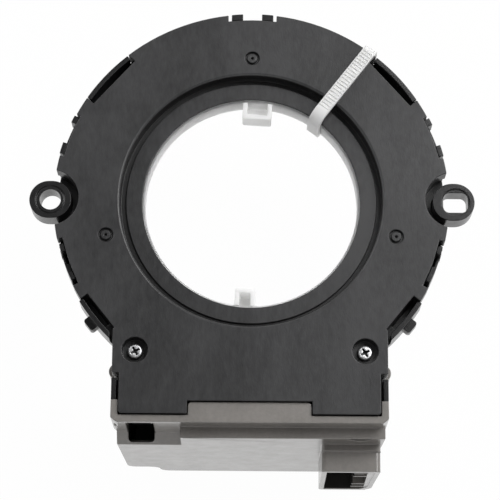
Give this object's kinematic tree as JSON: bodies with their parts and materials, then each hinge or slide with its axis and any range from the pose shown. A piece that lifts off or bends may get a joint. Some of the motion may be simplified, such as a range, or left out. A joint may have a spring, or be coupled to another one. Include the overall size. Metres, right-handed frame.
{
  "type": "steering angle sensor",
  "caption": "Ring-shaped steering angle sensor with a geared rotor, two fixing lugs, a deep electronics box and a plug socket.",
  "frame": {"origin": "on the steering column's axis, in the plane of the fixing lugs' rear seats", "axes": "+Z along the column axis out of the front cover, +X towards the lug with the slotted hole, -Y towards the electronics box and the socket's mouth"},
  "size_m": [0.1111, 0.1152, 0.0539],
  "materials": {
    "dark_plastic": "fine satin moulded",
    "black_plastic": "satin moulded",
    "grey_plastic": "satin moulded",
    "white_plastic": "translucent, smooth",
    "gear_plastic": "smooth",
    "magnet_metal": "plated",
    "board_green": "coated",
    "chip_black": "moulded",
    "can_metal": "drawn",
    "capacitor_tan": "ceramic",
    "pin_metal": "tinned",
    "screw_steel": "zinc plated",
    "tie_nylon": "translucent, smooth"
  },
  "bodies": {
    "housing": {"front_cover": "dark_plastic", "ring_tray": "black_plastic", "connector_box": "grey_plastic", "sensor_board": "board_green", "left_sensor_chip": "chip_black", "right_sensor_chip": "chip_black", "top_sensor_chip": "chip_black", "main_board": "board_green", "microcontroller": "chip_black", "bus_driver_chip": "chip_black", "voltage_regulator": "chip_black", "clock_crystal": "can_metal", "tall_capacitors": "can_metal", "chip_capacitors": "capacitor_tan", "pin_carrier": "black_plastic", "contact_pins": "pin_metal", "link_header": "black_plastic", "link_pins": "pin_metal", "left_screw": "screw_steel", "right_screw": "screw_steel", "cable_tie": "tie_nylon"},
    "rotor": {"rotor": "white_plastic"},
    "left_gear": {"left_gear": "gear_plastic", "left_magnet": "magnet_metal"},
    "right_gear": {"right_gear": "gear_plastic", "right_magnet": "magnet_metal"},
    "top_gear": {"top_gear": "gear_plastic", "top_magnet": "magnet_metal"}
  },
  "joints": [
    {"name": "rotor_turn", "type": "hinge", "parent": "housing", "child": "rotor", "pos_m": [0, 0, 0], "axis": [0, 0, 1], "range_deg": [-18, 132]},
    {"name": "left_gear_turn", "type": "hinge", "parent": "housing", "child": "left_gear", "pos_m": [-0.03593, -0.00963, 0.0017], "axis": [0, 0, 1], "continuous": true},
    {"name": "right_gear_turn", "type": "hinge", "parent": "housing", "child": "right_gear", "pos_m": [0.03593, -0.00963, 0.0017], "axis": [0, 0, 1], "continuous": true},
    {"name": "top_gear_turn", "type": "hinge", "parent": "housing", "child": "top_gear", "pos_m": [0, 0.0372, 0.0017], "axis": [0, 0, 1], "continuous": true}
  ],
  "couplings": [
    {"joint": "left_gear_turn", "follows": "rotor_turn", "ratio": -4.1667},
    {"joint": "right_gear_turn", "follows": "rotor_turn", "ratio": -4.4118},
    {"joint": "top_gear_turn", "follows": "rotor_turn", "ratio": -4.1667}
  ]
}
